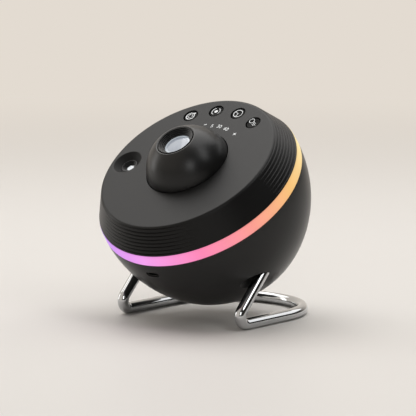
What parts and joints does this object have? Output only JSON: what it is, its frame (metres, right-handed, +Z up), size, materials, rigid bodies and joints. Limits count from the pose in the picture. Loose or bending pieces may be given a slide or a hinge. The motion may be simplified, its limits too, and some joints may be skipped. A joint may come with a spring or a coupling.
{
  "type": "planetarium projector",
  "caption": "Tabletop star projector: black ball leaning on a bent chrome rod stand, with a lit ring, lens dome, laser window, push buttons and an inner gear train that turns the star film.",
  "frame": {"origin": "on the table surface, under the middle of the object's bounding box", "axes": "+Z up from the table, -Y towards the front that the face and lens lean to, +X to the right-hand foot as seen from the front"},
  "size_m": [0.1306, 0.1322, 0.1308],
  "materials": {
    "shell_black": "satin moulded",
    "bowl_black": "satin moulded",
    "dome_black": "soft gloss",
    "light_diffuser": "frosted, lit from inside",
    "baffle_black": "matt light trap",
    "lens_glass": "coated",
    "clear_film": "printed clear disc",
    "gear_plastic": "acetal",
    "frame_plastic": "moulded white",
    "reflector": "metallised",
    "board": "solder mask",
    "lamp": "clear resin over phosphor",
    "component": "moulded epoxy",
    "heat_sink_metal": "extruded",
    "motor_metal": "plated can",
    "screw_steel": "zinc plated",
    "laser_brass": "turned",
    "button_black": "soft gloss",
    "stand_chrome": "polished",
    "socket_metal": "plated shell"
  },
  "bodies": {
    "housing": {"upper_shell": "shell_black", "lower_shell": "bowl_black", "light_ring": "light_diffuser", "ring_led_strip": "board", "ring_leds": "lamp", "dome_cover": "dome_black", "lens_baffle": "baffle_black", "front_lens": "lens_glass", "lens_barrel": "baffle_black", "rear_lens": "lens_glass", "lens_ring": "baffle_black", "barrel_screws": "screw_steel", "drive_motor": "motor_metal", "motor_screws": "screw_steel", "laser_bezel": "baffle_black", "laser_window": "lens_glass", "laser_module": "laser_brass", "inner_frame": "frame_plastic", "frame_screws": "screw_steel", "condenser_lens": "lens_glass", "lamp_reflector": "reflector", "lamp_led": "lamp", "lamp_board": "board", "heat_sink": "heat_sink_metal", "heat_sink_screws": "screw_steel", "button_switches": "component", "button_board": "board", "button_board_screws": "screw_steel", "indicator_guide": "lens_glass", "indicator_leds": "lamp", "main_board": "board", "board_parts": "component", "main_board_screws": "screw_steel", "power_socket": "socket_metal", "shell_screws": "screw_steel", "stand": "stand_chrome", "stand_screws": "screw_steel"},
    "film_wheel": {"film_wheel": "gear_plastic", "film_disc": "clear_film", "film_clip": "gear_plastic"},
    "pinion": {"drive_pinion": "gear_plastic", "motor_shaft": "motor_metal"},
    "grating_wheel": {"grating_wheel": "gear_plastic", "grating_film": "clear_film"},
    "mode_button": {"mode_button": "button_black"},
    "brightness_button": {"brightness_button": "button_black"},
    "timer_button": {"timer_button": "button_black"},
    "speed_button": {"speed_button": "button_black"}
  },
  "joints": [
    {"name": "film_spin", "type": "hinge", "parent": "housing", "child": "film_wheel", "pos_m": [0, -0.01243, 0.08503], "axis": [0, -0.6088, 0.7934], "continuous": true},
    {"name": "pinion_spin", "type": "hinge", "parent": "housing", "child": "pinion", "pos_m": [-0.02868, -0.01454, 0.08341], "axis": [0, -0.6088, 0.7934], "continuous": true},
    {"name": "grating_spin", "type": "hinge", "parent": "housing", "child": "grating_wheel", "pos_m": [-0.04461, -0.01571, 0.08251], "axis": [0, -0.6088, 0.7934], "continuous": true},
    {"name": "mode_press", "type": "slide", "parent": "housing", "child": "mode_button", "axis": [0, 0.6088, -0.7934], "range_m": [0, 0.001], "stiffness_N_per_m": 300},
    {"name": "brightness_press", "type": "slide", "parent": "housing", "child": "brightness_button", "axis": [0, 0.6088, -0.7934], "range_m": [0, 0.001], "stiffness_N_per_m": 300},
    {"name": "timer_press", "type": "slide", "parent": "housing", "child": "timer_button", "axis": [0, 0.6088, -0.7934], "range_m": [0, 0.001], "stiffness_N_per_m": 300},
    {"name": "speed_press", "type": "slide", "parent": "housing", "child": "speed_button", "axis": [0, 0.6088, -0.7934], "range_m": [0, 0.001], "stiffness_N_per_m": 300}
  ],
  "couplings": [
    {"joint": "pinion_spin", "follows": "film_spin", "ratio": -3.5},
    {"joint": "grating_spin", "follows": "film_spin", "ratio": 2.3333}
  ]
}
